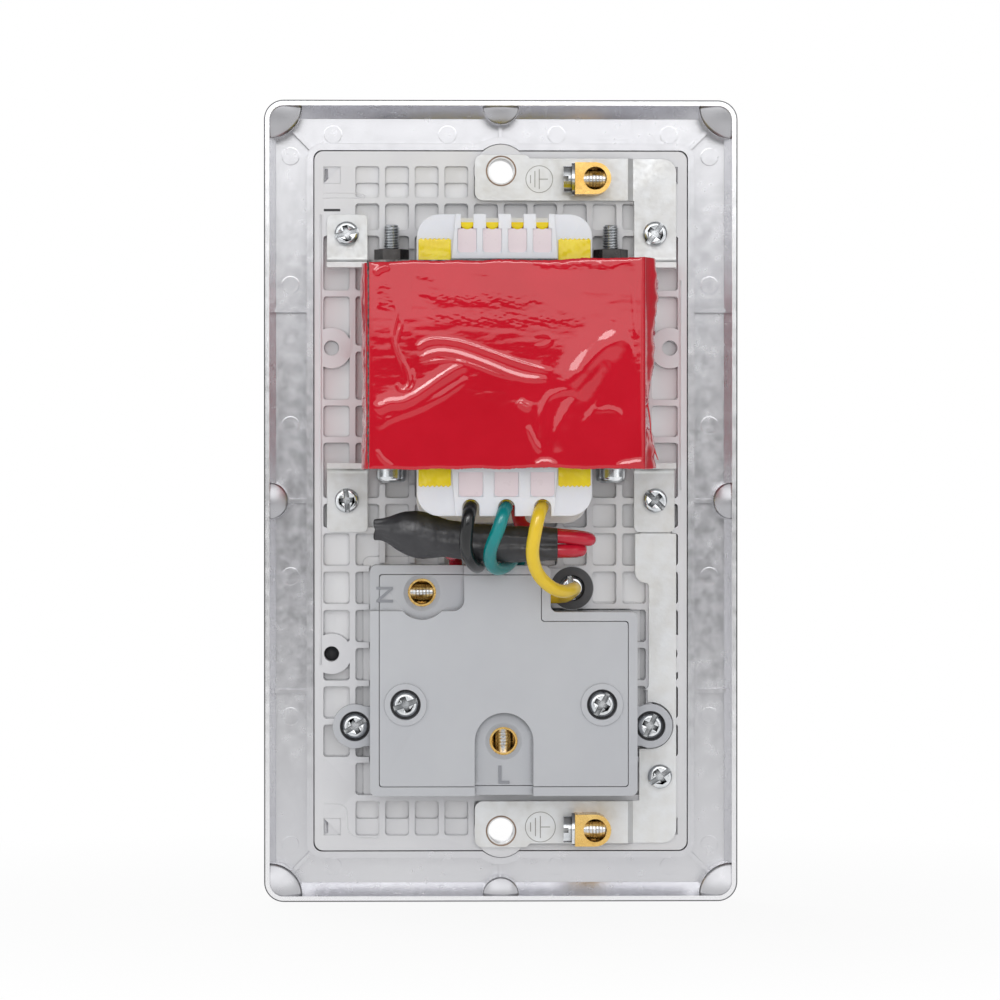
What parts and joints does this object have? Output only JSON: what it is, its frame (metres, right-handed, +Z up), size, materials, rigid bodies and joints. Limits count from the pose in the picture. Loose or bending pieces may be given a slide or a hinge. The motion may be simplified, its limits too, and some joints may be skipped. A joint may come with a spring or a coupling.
{
  "type": "shaver socket",
  "caption": "Dual-voltage shaver supply unit on a raised chrome plate, seen from behind: taped transformer, terminal housing, earth straps.",
  "frame": {"origin": "midway between the two fixing holes, in the wall plane", "axes": "+Z up the wall, +Y into the wall, front face towards -Y"},
  "size_m": [0.0866, 0.0466, 0.1466],
  "materials": {
    "chrome_plate": "bright outside, satin inside",
    "carrier_white": "fine matt moulding",
    "housing_grey": "matt moulding",
    "zinc_steel": "zinc plated with a warm tint",
    "screw_steel": "bright zinc plate",
    "brass": "turned",
    "red_tape": "glossy film with creases",
    "yellow_tape": "glossy film",
    "nylon": "translucent moulding",
    "enamelled_copper": "enamelled wire",
    "laminations": "dark oxide",
    "sleeve_black": "shrunk sleeve",
    "pvc_black": "lead insulation",
    "pvc_green": "lead insulation",
    "pvc_yellow": "lead insulation",
    "pvc_red": "lead insulation",
    "spring_steel": "bright wire"
  },
  "bodies": {
    "unit": {"front_plate": "chrome_plate", "carrier": "carrier_white", "outlet_face": "carrier_white", "shutter_spring": "spring_steel", "contact_common": "brass", "contact_115": "brass", "contact_230": "brass", "switch_leaf_moving": "brass", "switch_leaf_fixed": "brass", "terminal_base": "housing_grey", "terminal_cover": "housing_grey", "terminal_n": "brass", "terminal_l": "brass", "terminal_screws": "screw_steel", "earth_bracket_upper": "zinc_steel", "earth_strap_lower": "zinc_steel", "clamp_bracket_lower": "zinc_steel", "earth_terminal_upper": "brass", "earth_terminal_lower": "brass", "earth_clamp_screws": "screw_steel", "foot_screws": "screw_steel", "strap_screw": "screw_steel", "lug_screws": "screw_steel", "cover_screws": "screw_steel", "core_e_stack": "laminations", "core_i_stack": "laminations", "bobbin": "nylon", "primary_winding": "enamelled_copper", "secondary_winding": "enamelled_copper", "winding_tape": "yellow_tape", "flange_strips": "yellow_tape", "core_tape": "red_tape", "core_bolts": "screw_steel", "core_nuts": "screw_steel", "lead_black": "pvc_black", "lead_green": "pvc_green", "lead_yellow": "pvc_yellow", "lead_red_upper": "pvc_red", "lead_red_lower": "pvc_red", "sleeve": "sleeve_black", "thermal_cutout": "screw_steel"},
    "shutter": {"shutter": "carrier_white"}
  },
  "joints": [
    {"name": "shutter_slide", "type": "slide", "parent": "unit", "child": "shutter", "axis": [0, 0, 1], "range_m": [0, 0.0068], "stiffness_N_per_m": 80, "springref_m": -0.003, "deforming": ["shutter_spring"]}
  ]
}
